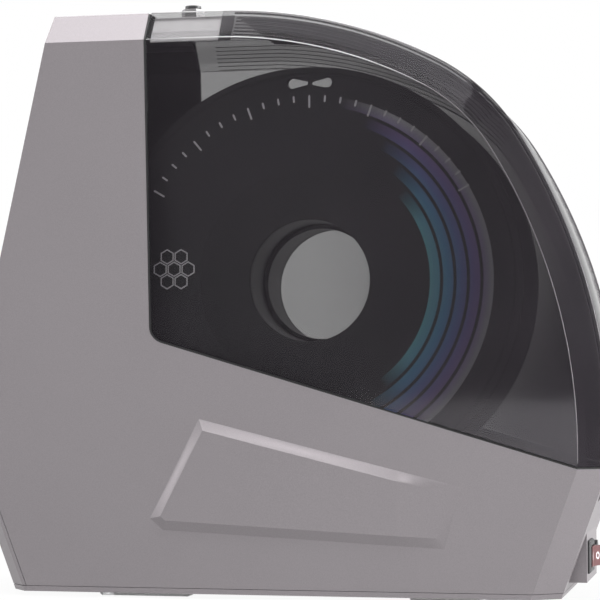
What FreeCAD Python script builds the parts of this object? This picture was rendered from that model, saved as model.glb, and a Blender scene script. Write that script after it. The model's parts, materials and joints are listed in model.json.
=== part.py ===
"""Filament dryer box with a loaded spool, in millimetres, +Z up.

X runs from the display front (-) to the hinged tail (+), Y from the near side (-) to the far side (+).
Everything is drawn about the spool's axis (x = 0) and moved on export, so that the origin lies on the
ground under the middle of the box.
"""
import FreeCAD
import Part
import math
import os

Vec = FreeCAD.Vector

# Case outline: the flat side face, drawn from the front foot round to the tail foot
case_width = 104.0
wall = 2.4
foot_height = 2.2
face_top = 259.7
front_top_x = -123.8
brow_lean = 12.05
chin_foot_x = -132.45
chin_lean = 20.97
roof_turn_x = -41.5
roof_radius = 205.0
roof_sweep = 28.0
shoulder_radius = 84.0
shoulder_sweep = 30.5
back_radius = 261.0
back_straight = 8.552
tail_foot_x = 104.3

# Bevels between the side faces and the roof, tail and front
bevel_depth = 10.0
roof_bevel = 14.0
tail_bevel = 12.0
chin_bevel = 7.3
brow_bevel = 1.5

# Parting line between body and lid
lid_front_x = -75.5
lid_front_lean = 1.33
lid_slope = 16.6
lid_corner_radius = 8.0
seal_height = 0.8
seal_inset = 0.3
lid_gap = 0.3

# Base plate and chin cover
plate_thickness = 2.4
seam_gap = 0.2
chin_seam_inset = 1.8
chin_tab_y = 24.0
chin_tab_width = 9.0
chin_tab_height = 6.0

# Raised wedge panel on each side face
panel_height = 3.0
panel_fade_height = 2.7
panel_tail_height = 0.3
panel_fade_x = 44.0
panel_bevel = 4.6
panel_sink = 0.6
panel_top_front = (-48.4, 82.6)
panel_nose = (-71.6, 36.7)
panel_low_front = (-65.5, 31.4)
panel_low_tail = (65.6, 24.3)
panel_top_tail = (73.4, 52.1)

# Feet and the posts that the base plate is screwed to
foot_length = 43.0
foot_width = 10.0
foot_bevel = 0.8
foot_screw_gap = 1.4
front_foot_x = -77.0
rear_foot_x = 69.8
post_radius = 4.0
front_post_x = -93.0
rear_post_x = 83.0
post_wall_lap = 0.6

# Small screws
screw_radius = 1.5
screw_fit = 0.05
screw_head_radius = 2.8
screw_head_height = 1.6
base_screw_length = 10.0
liner_screw_length = 8.0

# Spool and its winding
spool_radius = 100.0
spool_width = 68.0
spool_z = 147.0
flange_thickness = 3.5
bore_radius = 28.5
bore_ring_radius = 26.5
bore_ring_width = 8.0
core_radius = 42.0
rim_ridge_radius = 96.0
rim_ridge_width = 1.2
rim_ridge_depth = 0.5
eye_radius = 92.6
eye_spread = 2.8
eye_length = 7.8
eye_height = 5.0
label_inner = 52.5
label_outer = 89.0
label_thickness = 0.25
filament_diameter = 1.75
winding_radius = 88.0
winding_rest = 0.05
winding_margin = 0.5
core_fit = 0.02

# Rollers under the spool
roller_radius = 11.0
roller_width = 7.0
roller_half_span = 52.0
roller_gap = 0.3
shaft_radius = 2.5
running_fit = 0.05
shaft_overhang = 1.0
bracket_thickness = 4.0
bracket_offset = 0.925
bracket_half_width = 8.0
bracket_rise = 7.0
bracket_foot_length = 26.0
bracket_foot_width = 7.0
bracket_foot_height = 3.0
bracket_screw_x = 10.5
bracket_screw_radius = 1.2
bush_radius = 4.0
bush_flange_radius = 5.5
bush_flange = 1.0

# Chamber liner: a floor and a front wall
liner_thickness = 2.0
liner_floor_z = 31.2
liner_spool_gap = 3.0
liner_fit = 0.2
vent_count = 6
vent_height = 3.2
vent_pitch = 6.4
vent_width = 36.0

# Warm air: fan, heater
air_z = 76.0
fan_side = 40.0
fan_depth = 10.0
fan_hole_radius = 18.8
fan_blade_radius = 18.0
fan_hub_radius = 8.0
fan_blades = 7
fan_blade_thickness = 1.2
fan_blade_depth = 6.0
fan_blade_pitch = 35.0
fan_strut = 2.6
fan_strut_depth = 1.8
fan_shaft_radius = 1.5
fan_end_gap = 0.4
fan_hole_spacing = 32.0
heater_depth = 16.0
heater_rim = 2.5
heater_bar = 4.0
fin_count = 9
fin_thickness = 0.8

# Electronics on the front side of the liner
power_board_size = (70.0, 64.0)
power_board_z = 182.0
board_thickness = 1.6
standoff_height = 5.0
standoff_flats = 5.0
standoff_inset = 4.0
capacitor_radius = 4.0
capacitor_height = 10.0
capacitor_pitch = 11.0
coil_radius = 7.0
coil_hole = 3.0
coil_height = 6.0
relay_size = (18.0, 14.0, 9.0)
terminal_size = (24.0, 9.0, 8.0)
board_part_margin = 7.0
sensor_size = (12.0, 16.0)
sensor_edge = 19.6
sensor_z = 195.0
sensor_board = 1.2
sensor_cap = 2.0

# Display and buttons on the leaning front face
display_z = 178.0
window_size = (70.0, 46.0)
window_thickness = 1.2
window_fit = 0.2
screen_size = (60.0, 36.0)
screen_fit = 1.0
control_board_width = 76.0
control_board_top = 28.0
control_board_foot = -47.0
board_depth = 9.0
boss_radius = 3.0
boss_inset = 3.6
board_screw_radius = 1.1
button_row = -35.0
button_pitch = 22.0
button_size = (13.0, 7.0)
button_corner = 2.2
button_fit = 0.3
button_stand = 1.2
button_lip = 1.0
button_travel = 1.0
tact_side = 6.0
tact_plunger_radius = 1.6
tact_plunger = 0.8

# Hinge at the tail
hinge_reach = 3.5
hinge_rise = 10.0
hinge_y = 27.0
lug_radius = 5.5
lug_width = 8.0
lug_root = 18.0
lug_skirt = 6.0
knuckle_radius = 4.8
knuckle_width = 6.0
hinge_side_gap = 0.3
hinge_pin_radius = 1.5
pin_press_fit = 0.02
notch_side = 0.6
notch_top = 1.4

# Power pod at the tail
pod_top = 31.0
pod_foot = 8.5
pod_half_width = 29.0
switch_y = -14.0
switch_flange = (21.0, 15.0)
switch_flange_thickness = 1.6
switch_body = (19.0, 13.0)
switch_depth = 12.0
switch_panel_fit = 0.1
rocker_half = 7.6
rocker_width = 9.3
rocker_tilt = 11.0
rocker_clear = 0.35
rocker_crown = 3.0
rocker_pivot_depth = 2.5
rocker_belly = 3.0
trunnion_radius = 1.0
trunnion_reach = 1.1
blade_size = (0.8, 4.8, 7.0)
blade_pitch = 7.0
jack_y = 14.0
jack_flange_radius = 5.6
jack_flange_thickness = 1.6
jack_barrel_radius = 4.2
jack_depth = 12.0
jack_bore_radius = 3.15
jack_bore_depth = 9.5
jack_pin_radius = 1.05
jack_pin_length = 8.5

# Filament outlets on the lid
outlet_x = -65.2
outlet_flats = 10.0
outlet_hex_height = 8.4
outlet_thread_radius = 3.0
outlet_thread_fit = 0.1
outlet_nut_height = 2.4
outlet_tail = 1.0
tube_bore_radius = 2.05
collar_seat_radius = 3.0
collar_seat_depth = 3.5
collar_fit = 0.08
collar_bore_fit = 0.15
collar_flange_radius = 3.9
collar_flange_height = 1.0
collar_travel = 0.6
collar_end_gap = 0.2
plug_angle = 36.0
plug_radius = 3.9
plug_fit = 0.1
plug_head_radius = 5.2
plug_head_height = 1.0
plug_stem = 3.4

reach = 400.0


def heading(angle):
    """Unit direction in X and Z, turned from straight up towards the tail."""
    turn = math.radians(angle)
    return math.sin(turn), math.cos(turn)


def shifted(line, distance):
    """A line moved to its left, which is outwards on the case outline."""
    (x, z), (dx, dz) = line
    return (x - distance * dz, z + distance * dx), (dx, dz)


def meet(first, second):
    """Point where two lines cross."""
    (ax, az), (adx, adz) = first
    (bx, bz), (bdx, bdz) = second
    cross = adx * bdz - adz * bdx
    along = ((bx - ax) * bdz - (bz - az) * bdx) / cross
    return ax + along * adx, az + along * adz


def towards(start, end):
    """Line through two points, running from the first to the second."""
    length = math.hypot(end[0] - start[0], end[1] - start[1])
    return start, ((end[0] - start[0]) / length, (end[1] - start[1]) / length)


shoulder_end = roof_sweep + shoulder_sweep
roof_side = heading(roof_sweep)
shoulder_side = heading(shoulder_end)
roof_centre = (roof_turn_x, face_top - roof_radius)
shoulder_centre = (roof_centre[0] + (roof_radius - shoulder_radius) * roof_side[0],
                   roof_centre[1] + (roof_radius - shoulder_radius) * roof_side[1])
back_centre = (shoulder_centre[0] + (shoulder_radius - back_radius) * shoulder_side[0],
               shoulder_centre[1] + (shoulder_radius - back_radius) * shoulder_side[1])
back_x = back_centre[0] + back_radius
tail_top = back_centre[1] - back_straight
roof_top = face_top + roof_bevel

chin_line = ((chin_foot_x, foot_height), heading(-chin_lean))
brow_line = ((front_top_x, face_top), heading(brow_lean))
top_line = ((0.0, face_top), (1.0, 0.0))
back_line = ((back_x, 0.0), (0.0, -1.0))
tail_line = towards((back_x, tail_top), (tail_foot_x, foot_height))
floor_line = ((0.0, foot_height), (-1.0, 0.0))

nose_x = meet(shifted(chin_line, chin_bevel), shifted(brow_line, brow_bevel))[0]
tail_outer = shifted(tail_line, tail_bevel)
hinge_x = back_x + roof_bevel + hinge_reach
hinge_z = tail_top + hinge_rise
middle_x = (nose_x + hinge_x + lug_radius) / 2

plate_top = foot_height + plate_thickness
shell_foot = plate_top + seam_gap
inner_half = case_width / 2 - wall
liner_wall_x = -(spool_radius + liner_spool_gap)
liner_front_x = liner_wall_x - liner_thickness
liner_under_z = liner_floor_z - liner_thickness
post_y = inner_half - post_radius + post_wall_lap
post_hole = screw_radius + screw_fit
foot_y = post_y - screw_head_radius - foot_screw_gap - foot_width / 2
roller_reach = spool_radius + roller_radius + roller_gap
roller_z = spool_z - math.sqrt(roller_reach ** 2 - roller_half_span ** 2)
flange_y = spool_width / 2 - flange_thickness / 2
roller_edge_y = flange_y + roller_width / 2
bracket_y = (roller_edge_y + inner_half) / 2 + bracket_offset
pod_x = meet(tail_outer, ((0.0, pod_top), (1.0, 0.0)))[0]
pod_centre_z = (pod_top + pod_foot) / 2


def on_circle(centre, radius, angle):
    """Point of a circle in the XZ plane, with the angle turned from straight up."""
    dx, dz = heading(angle)
    return centre[0] + radius * dx, centre[1] + radius * dz


def wire_at(y, pieces):
    """Wire at one depth from runs of points: two points are a line, three an arc."""
    edges = []
    for points in pieces:
        ends = [Vec(x, y, z) for x, z in points]
        curve = Part.LineSegment(*ends) if len(ends) == 2 else Part.Arc(*ends)
        edges.append(curve.toShape())
    return Part.Wire(edges)


arc_runs = {3: (roof_centre, roof_radius, 0.0, roof_sweep),
            4: (shoulder_centre, shoulder_radius, roof_sweep, shoulder_end),
            5: (back_centre, back_radius, shoulder_end, 90.0)}


def outline(level, inset):
    """Corners of the case outline: level 0 is the flat side face, level 1 the section past the bevel."""
    def offset(bevel):
        slant = math.hypot(bevel, bevel_depth)
        return bevel - inset if level else inset * (bevel - slant) / bevel_depth

    rise = offset(roof_bevel)
    floor = shifted(floor_line, -inset)
    chin = shifted(chin_line, offset(chin_bevel))
    brow = shifted(brow_line, offset(brow_bevel))
    top = shifted(top_line, rise)
    back = shifted(back_line, rise)
    tail = shifted(tail_line, offset(tail_bevel))
    joints = [on_circle(centre, radius + rise, end) for centre, radius, start, end in arc_runs.values()]
    return [meet(floor, chin), meet(chin, brow), meet(brow, top), (roof_turn_x, face_top + rise), *joints,
            meet(back, tail), meet(tail, floor)]


def band(low, low_y, high, high_y):
    """Faces between two outlines at different depths."""
    faces = []
    for i in range(len(low)):
        j = (i + 1) % len(low)
        ring = [Vec(low[i][0], low_y, low[i][1]), Vec(high[i][0], high_y, high[i][1]),
                Vec(high[j][0], high_y, high[j][1]), Vec(low[j][0], low_y, low[j][1])]
        if i in arc_runs:
            centre, radius, start, end = arc_runs[i]
            side = Part.LineSegment(ring[0], ring[1]).toShape()
            faces.append(side.revolve(Vec(centre[0], 0, centre[1]), Vec(0, 1, 0), end - start))
        else:
            faces.append(Part.Face(Part.makePolygon(ring + ring[:1])))
    return faces


def cap_face(corner, rise, y):
    """Flat side of the case block."""
    runs = []
    for i in range(len(corner)):
        j = (i + 1) % len(corner)
        if i in arc_runs:
            centre, radius, start, end = arc_runs[i]
            runs.append((corner[i], on_circle(centre, radius + rise, (start + end) / 2), corner[j]))
        else:
            runs.append((corner[i], corner[j]))
    return Part.Face(wire_at(y, runs))


def case_block(inset):
    """Solid inside of the case outline, a wall's distance in from its surface."""
    slant = math.hypot(roof_bevel, bevel_depth)
    face_y = case_width / 2 - inset
    side_y = case_width / 2 - bevel_depth - inset * (slant - bevel_depth) / roof_bevel
    face = outline(0, inset)
    section = outline(1, inset)
    rise = inset * (roof_bevel - slant) / bevel_depth
    faces = [cap_face(face, rise, -face_y), cap_face(face, rise, face_y)]
    faces += band(face, -face_y, section, -side_y)
    faces += band(section, -side_y, section, side_y)
    faces += band(section, side_y, face, face_y)
    block = Part.Solid(Part.Shell(faces))
    if block.Volume < 0:
        block.reverse()
    return block


def prism(runs, low_y=-reach, high_y=reach):
    """Outline in the XZ plane carried along Y."""
    return Part.Face(wire_at(low_y, runs)).extrude(Vec(0, high_y - low_y, 0))


def polygon_runs(points):
    """Closed straight outline through points."""
    return [(points[i - 1], points[i]) for i in range(len(points))]


def beyond_parting(distance):
    """Space on the lid's side of the parting line, a distance out from the body's rim."""
    front = shifted(((lid_front_x, face_top), heading(180.0 - lid_front_lean)), distance)
    slope = shifted(((back_x, tail_top), heading(90.0 + lid_slope)), distance)
    rim = shifted(((back_x, tail_top), (1.0, 0.0)), distance)
    corner = meet(front, slope)
    bend = meet(slope, rim)
    radius = lid_corner_radius - distance
    half_turn = math.radians(90.0 - lid_slope - lid_front_lean) / 2
    setback = radius * math.tan(half_turn)
    start = (corner[0] - setback * front[1][0], corner[1] - setback * front[1][1])
    end = (corner[0] + setback * slope[1][0], corner[1] + setback * slope[1][1])
    chord = ((start[0] + end[0]) / 2, (start[1] + end[1]) / 2)
    inward = towards(corner, chord)[1]
    sagitta = radius / math.cos(half_turn) - radius
    middle = (corner[0] + sagitta * inward[0], corner[1] + sagitta * inward[1])
    high = meet(front, ((0.0, reach), (1.0, 0.0)))
    far = meet(rim, ((reach, 0.0), (0.0, 1.0)))
    return prism([(high, start), (start, middle, end), (end, bend), (bend, far),
                  (far, (reach, reach)), ((reach, reach), high)])


def box(low, high):
    """Axis-aligned block between two corners."""
    size = [high[i] - low[i] for i in range(3)]
    return Part.makeBox(*size, Vec(*low))


def rod(radius, start, end):
    """Round bar between two points."""
    along = Vec(*end) - Vec(*start)
    return Part.makeCylinder(radius, along.Length, Vec(*start), along)


def tube(outer, inner, start, end):
    """Round bar with a hole right through."""
    return rod(outer, start, end).cut(rod(inner, start, end))


def hexagon(flats, start, height):
    """Upright six-sided bar."""
    corner = flats / math.sqrt(3)
    points = [Vec(start[0] + corner * math.cos(math.radians(60 * i)),
                  start[1] + corner * math.sin(math.radians(60 * i)), start[2]) for i in range(6)]
    return Part.Face(Part.makePolygon(points + points[:1])).extrude(Vec(0, 0, height))


def rounded_plate(size, corner, low, high):
    """Upright plate with rounded corners, centred on the Z axis."""
    plate = box((-size[0] / 2, -size[1] / 2, low), (size[0] / 2, size[1] / 2, high))
    upright = [edge for edge in plate.Edges if abs(edge.tangentAt(edge.FirstParameter).z) > 0.9]
    return plate.makeFillet(corner, upright)


def on_brow(shape):
    """Move a shape from its drawing plane, with Z outwards and Y up, onto the leaning front face."""
    up = heading(brow_lean)
    outer = shifted(brow_line, brow_bevel)
    x, z = meet(outer, ((0.0, display_z), (1.0, 0.0)))
    turn = FreeCAD.Rotation(Vec(0, -1, 0), Vec(up[0], 0, up[1]), Vec(-up[1], 0, up[0]), "ZXY")
    moved = shape.copy()
    moved.Placement = FreeCAD.Placement(Vec(x, 0, z), turn).multiply(shape.Placement)
    return moved


def corners(half_x, half_y):
    """The four corners of a rectangle about the origin."""
    return [(sx * half_x, sy * half_y) for sx in (-1, 1) for sy in (-1, 1)]


def screw(tip, head_seat, radius=screw_radius):
    """Screw from its tip to the seat of its head, with a domed head beyond."""
    along = (Vec(*head_seat) - Vec(*tip)).normalize()
    scale = radius / screw_radius
    head_end = Vec(*head_seat) + along * (screw_head_height * scale)
    head = rod(screw_head_radius * scale, head_seat, tuple(head_end))
    rim = [edge for edge in head.Edges if len(edge.Vertexes) == 1 and (edge.CenterOfMass - head_end).Length < 0.01]
    return rod(radius, tip, head_seat).fuse(head.makeFillet(0.4 * screw_head_height * scale, rim)).removeSplitter()


def panel_block(side, base, crest, heights):
    """Part of a raised panel between its outline on the side face and its crest, which stands at given heights."""
    face_y = case_width / 2
    low = [Vec(x, side * (face_y - panel_sink), z) for x, z in base]
    foot = [Vec(x, side * face_y, z) for x, z in base]
    high = [Vec(x, side * (face_y + height), z) for (x, z), height in zip(crest, heights)]
    wires = [Part.makePolygon(ring + ring[:1]) for ring in (low, foot, high)]
    return Part.makeLoft(wires[:2], True, True).fuse(Part.makeLoft(wires[1:], True, True))


def side_panel(side):
    """Raised panel on a side face, with bevelled edges, that fades out towards the tail."""
    base = [panel_top_front, panel_nose, panel_low_front, panel_low_tail, panel_top_tail]
    count = len(base)
    sides = [towards(base[i - 1], base[i]) for i in range(count)]
    crest = [meet(shifted(sides[i], panel_bevel), shifted(sides[(i + 1) % count], panel_bevel))
             for i in range(count)]
    cut = ((panel_fade_x, 0.0), (0.0, 1.0))
    foot_cut = [meet(line, cut) for line in (sides[3], sides[0])]
    crest_cut = [meet(shifted(line, panel_bevel), cut) for line in (sides[3], sides[0])]
    nose = crest[1][0]
    tail = crest[4][0]
    fore_slope = (panel_fade_height - panel_height) / (panel_fade_x - nose)
    aft_slope = (panel_tail_height - panel_fade_height) / (tail - panel_fade_x)
    fore = crest[:3] + crest_cut
    aft = [crest_cut[0], crest[3], crest[4], crest_cut[1]]
    front = panel_block(side, base[:3] + foot_cut, fore, [panel_height + fore_slope * (x - nose) for x, z in fore])
    rear = panel_block(side, [foot_cut[0], base[3], base[4], foot_cut[1]], aft,
                       [panel_fade_height + aft_slope * (x - panel_fade_x) for x, z in aft])
    return front.fuse(rear)


def hinge_lug(y):
    """Ear that stands up from the tail and carries the hinge pin."""
    root_z = tail_top - lug_root
    root_x = meet(tail_outer, ((0.0, root_z), (1.0, 0.0)))[0] - wall / 2
    profile = [(hinge_x - lug_radius, hinge_z), (hinge_x + lug_radius, hinge_z),
               (hinge_x + lug_radius, hinge_z - lug_skirt), (root_x, root_z),
               (hinge_x - lug_radius, tail_top - wall)]
    ear = prism(polygon_runs(profile), y - lug_width / 2, y + lug_width / 2)
    eye = rod(lug_radius, (hinge_x, y - lug_width / 2, hinge_z), (hinge_x, y + lug_width / 2, hinge_z))
    return ear.fuse(eye)


def hinge_bore(radius):
    """Room for the pins of both hinges."""
    return rod(radius, (hinge_x, -case_width / 2, hinge_z), (hinge_x, case_width / 2, hinge_z))


def pod_profile(inset):
    """Section of the power pod, which stands out of the slanting tail to an upright face."""
    back = pod_x - inset
    foot = pod_foot + inset
    root = meet(tail_outer, ((0.0, foot), (1.0, 0.0)))[0] - inset
    inner = wall + inset * 4
    return polygon_runs([(back, pod_top - inset), (back, foot), (root, foot),
                         (root - inner, foot), (back - inner, pod_top - inset)])


def screen_opening():
    """Recess for the window and the hole for the screen behind it."""
    recess = box((-window_size[0] / 2, -window_size[1] / 2, -window_thickness),
                 (window_size[0] / 2, window_size[1] / 2, wall))
    hole = box((-screen_size[0] / 2 - screen_fit, -screen_size[1] / 2 - screen_fit, -2 * wall),
               (screen_size[0] / 2 + screen_fit, screen_size[1] / 2 + screen_fit, wall))
    return recess.fuse(hole)


def button_places():
    """Centres of the three buttons, left to right on the front face."""
    return [((i - 1) * button_pitch, button_row) for i in range(3)]


def board_corners():
    """Centres of the bosses that carry the control board."""
    x = control_board_width / 2 - boss_inset
    return [(side * x, y) for side in (-1, 1)
            for y in (control_board_top - boss_inset, control_board_foot + boss_inset)]


def post_places():
    """Feet of the posts inside the body."""
    return [(x, side * post_y) for x in (front_post_x, rear_post_x) for side in (-1, 1)]


def chin_space(distance):
    """Space in front of the chin seam."""
    seam = shifted(chin_line, distance - chin_seam_inset)
    low = meet(seam, ((0.0, -reach), (1.0, 0.0)))
    high = meet(seam, ((0.0, reach), (1.0, 0.0)))
    return prism(polygon_runs([low, high, (-2 * reach, reach), (-2 * reach, -reach)]))


def body_shell():
    """Grey outer case, open to the lid, to the base plate and to the chin cover."""
    hull = case_block(0).cut(case_block(wall))
    hull = hull.fuse([side_panel(side) for side in (-1, 1)])
    pod = prism(pod_profile(0), -pod_half_width, pod_half_width)
    hull = hull.fuse(pod).cut(prism(pod_profile(wall), -pod_half_width + wall, pod_half_width - wall))
    hull = hull.cut(beyond_parting(0)).cut(chin_space(-seam_gap / 2))
    hull = hull.cut(box((-reach, -reach, -reach), (reach, reach, shell_foot)))
    hull = hull.fuse([hinge_lug(side * hinge_y) for side in (-1, 1)])
    hull = hull.cut(hinge_bore(hinge_pin_radius + pin_press_fit))
    posts = [rod(post_radius, (x, y, plate_top), (x, y, liner_under_z)) for x, y in post_places()]
    holes = [rod(post_hole, (x, y, plate_top), (x, y, liner_under_z)) for x, y in post_places()]
    hull = hull.fuse([post.common(case_block(wall / 2)) for post in posts]).cut(holes)
    bosses = [on_brow(rod(boss_radius, (x, y, -board_depth), (x, y, -wall / 2))) for x, y in board_corners()]
    boss_holes = [on_brow(rod(board_screw_radius + screw_fit, (x, y, -board_depth), (x, y, -wall)))
                  for x, y in board_corners()]
    hull = hull.fuse(bosses).cut(boss_holes).cut(on_brow(screen_opening()))
    size = [length + 2 * button_fit for length in button_size]
    for x, y in button_places():
        hole = rounded_plate(size, button_corner + button_fit, -2 * wall, wall)
        hole.translate(Vec(x, y, 0))
        hull = hull.cut(on_brow(hole))
    panel = [length / 2 + switch_panel_fit for length in switch_body]
    hull = hull.cut(box((pod_x - 2 * wall, switch_y - panel[0], pod_centre_z - panel[1]),
                        (pod_x + wall, switch_y + panel[0], pod_centre_z + panel[1])))
    hull = hull.cut(rod(jack_barrel_radius + switch_panel_fit, (pod_x - 2 * wall, jack_y, pod_centre_z),
                        (pod_x + wall, jack_y, pod_centre_z)))
    return hull.removeSplitter()


def chin_cover():
    """Lower front cover, from the seam forwards, with two inner feet that stand on the base plate."""
    hull = case_block(0).cut(case_block(wall)).common(chin_space(seam_gap / 2))
    hull = hull.cut(box((-reach, -reach, -reach), (reach, reach, shell_foot)))
    feet = []
    for side in (-1, 1):
        y = side * chin_tab_y
        tab = box((-reach, y - chin_tab_width / 2, plate_top), (reach, y + chin_tab_width / 2, plate_top + chin_tab_height))
        feet.append(tab.common(case_block(wall / 2)).common(chin_space(seam_gap)))
    return hull.fuse(feet).removeSplitter()


def base_plate():
    """Plate that closes the underside."""
    plate = case_block(0).common(box((-reach, -reach, 0), (reach, reach, plate_top)))
    return plate.cut([rod(post_hole, (x, y, 0), (x, y, plate_top)) for x, y in post_places()])


def rubber_feet():
    """Four long rubber pads under the base plate."""
    pads = []
    for x in (front_foot_x, rear_foot_x):
        for side in (-1, 1):
            y = side * foot_y
            pad = box((x - foot_length / 2, y - foot_width / 2, 0),
                      (x + foot_length / 2, y + foot_width / 2, foot_height))
            under = [edge for edge in pad.Edges if edge.BoundBox.ZMax < 0.01]
            pads.append(pad.makeChamfer(foot_bevel, under))
    return Part.Compound(pads)


def base_screws():
    """Screws up through the base plate into the posts."""
    tip = foot_height + base_screw_length
    return Part.Compound([screw((x, y, tip), (x, y, foot_height)) for x, y in post_places()])


def liner_screws():
    """Screws down through the liner floor into the posts."""
    tip = liner_floor_z - liner_screw_length
    return Part.Compound([screw((x, y, tip), (x, y, liner_floor_z)) for x, y in post_places()])


def vents():
    """Slots in the liner's front wall, where warm air comes in."""
    slots = []
    for i in range(vent_count):
        z = air_z + (i - (vent_count - 1) / 2) * vent_pitch
        slots.append(box((liner_front_x, -vent_width / 2, z - vent_height / 2),
                         (liner_wall_x, vent_width / 2, z + vent_height / 2)))
    return slots


def bracket_feet():
    """Centres of the four roller brackets."""
    return [(end * roller_half_span, side) for end in (-1, 1) for side in (-1, 1)]


def bracket_foot_y(side):
    """Inner and outer edges of a bracket's foot, lowest first."""
    outer = bracket_y + bracket_thickness / 2
    return sorted((side * (outer - bracket_foot_width), side * outer))


def bracket_screw_places():
    """Screws at both ends of each bracket's foot."""
    places = []
    for x, side in bracket_feet():
        y = sum(bracket_foot_y(side)) / 2
        places += [(x - bracket_screw_x, y), (x + bracket_screw_x, y)]
    return places


def air_corners():
    """Screw centres at the corners of the fan."""
    return [(y, air_z + z) for y, z in corners(fan_hole_spacing / 2, fan_hole_spacing / 2)]


def chamber_liner():
    """Floor and front wall that part the spool from the electronics."""
    sheet = box((liner_front_x, -reach, liner_under_z), (reach, reach, liner_floor_z))
    sheet = sheet.fuse(box((liner_front_x, -reach, liner_under_z), (liner_wall_x, reach, reach)))
    sheet = sheet.common(case_block(wall + liner_fit)).cut(vents())
    holes = [rod(post_hole, (x, y, liner_under_z), (x, y, liner_floor_z)) for x, y in post_places()]
    holes += [rod(bracket_screw_radius + screw_fit, (x, y, liner_under_z), (x, y, liner_floor_z))
              for x, y in bracket_screw_places()]
    holes += [rod(post_hole, (liner_front_x, y, z), (liner_wall_x, y, z)) for y, z in air_corners()]
    return sheet.cut(holes).removeSplitter()


def roller_brackets():
    """Four upright ears with feet, which carry the roller shafts."""
    ears = []
    for x, side in bracket_feet():
        y = side * bracket_y
        half = bracket_thickness / 2
        low, high = bracket_foot_y(side)
        ear = box((x - bracket_half_width, y - half, liner_floor_z), (x + bracket_half_width, y + half, roller_z))
        ear = ear.fuse(rod(bracket_half_width, (x, y - half, roller_z), (x, y + half, roller_z)))
        ear = ear.fuse(box((x - bracket_foot_length / 2, low, liner_floor_z),
                           (x + bracket_foot_length / 2, high, liner_floor_z + bracket_foot_height)))
        ears.append(ear.cut(rod(bush_radius + core_fit, (x, y - half, roller_z), (x, y + half, roller_z))))
    ears = Part.Compound(ears)
    holes = [rod(bracket_screw_radius + screw_fit, (x, y, liner_floor_z),
                 (x, y, liner_floor_z + bracket_foot_height)) for x, y in bracket_screw_places()]
    return Part.Compound(ears.cut(holes).Solids)


def bracket_screws():
    """Screws that hold the bracket feet to the liner floor."""
    seat = liner_floor_z + bracket_foot_height
    return Part.Compound([screw((x, y, liner_under_z), (x, y, seat), bracket_screw_radius)
                          for x, y in bracket_screw_places()])


def roller_bushes():
    """Flanged bushes in the brackets."""
    bushes = []
    for x, side in bracket_feet():
        inner = side * (bracket_y - bracket_thickness / 2)
        outer = side * (bracket_y + bracket_thickness / 2)
        flange = inner - side * bush_flange
        sleeve = rod(bush_radius, (x, inner, roller_z), (x, outer, roller_z))
        sleeve = sleeve.fuse(rod(bush_flange_radius, (x, flange, roller_z), (x, inner, roller_z)))
        bushes.append(sleeve.cut(rod(shaft_radius + running_fit, (x, flange, roller_z), (x, outer, roller_z))))
    return Part.Compound(bushes)


def roller_shaft(x):
    """Steel shaft across the chamber."""
    end = bracket_y + bracket_thickness / 2 + shaft_overhang
    return rod(shaft_radius, (x, -end, roller_z), (x, end, roller_z))


def roller_pair(x):
    """Two rubber rollers on one shaft, one under each flange."""
    rings = []
    for side in (-1, 1):
        low = side * flange_y - roller_width / 2
        ring = tube(roller_radius, shaft_radius + core_fit, (x, low, roller_z), (x, low + roller_width, roller_z))
        rim = [edge for edge in ring.Edges if edge.BoundBox.XLength > 2 * roller_radius - 0.1
               and edge.BoundBox.YLength < 0.1]
        rings.append(ring.makeFillet(1.0, rim))
    return Part.Compound(rings)


def spool_eye(side):
    """One teardrop hole beside the rim, its tip towards the other one."""
    far = eye_spread + eye_length - eye_height / 2
    z = spool_z + eye_radius
    low = -spool_width
    drop = rod(eye_height / 2, (side * far, low, z), (side * far, -low, z))
    tip_x = side * (eye_spread - eye_length / 4)
    wedge = polygon_runs([(side * far, z + eye_height / 2), (tip_x, z + eye_height / 6),
                          (tip_x, z - eye_height / 6), (side * far, z - eye_height / 2)])
    return drop.fuse(prism(wedge, low, -low))


def spool_flange(side):
    """Disc with a bore, a rim ridge and two teardrop holes for the filament's end."""
    outer = side * spool_width / 2
    inner = outer - side * flange_thickness
    disc = tube(spool_radius, bore_radius, (0, inner, spool_z), (0, outer, spool_z))
    groove = tube(rim_ridge_radius + rim_ridge_width, rim_ridge_radius,
                  (0, outer - side * rim_ridge_depth, spool_z), (0, outer, spool_z))
    return disc.cut([groove, spool_eye(-1), spool_eye(1)])


def spool_core():
    """Hub between the flanges, with a narrower ring halfway along its bore."""
    half = spool_width / 2 - flange_thickness
    hub = tube(core_radius, bore_radius, (0, -half, spool_z), (0, half, spool_z))
    return hub.fuse(tube(bore_radius, bore_ring_radius, (0, -bore_ring_width / 2, spool_z),
                         (0, bore_ring_width / 2, spool_z))).removeSplitter()


def spool_label():
    """Paper ring on the near flange."""
    face = -spool_width / 2
    return tube(label_outer, label_inner, (0, face - label_thickness, spool_z), (0, face, spool_z))


def filament_core():
    """Wound filament below the outermost layer."""
    half = spool_width / 2 - flange_thickness - core_fit
    return tube(winding_radius, core_radius + core_fit, (0, -half, spool_z), (0, half, spool_z))


def filament_layer():
    """Outermost layer of filament, as one plain sleeve."""
    half = spool_width / 2 - flange_thickness - winding_margin
    inner = winding_radius + winding_rest
    return tube(inner + filament_diameter, inner, (0, -half, spool_z), (0, half, spool_z))


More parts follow.
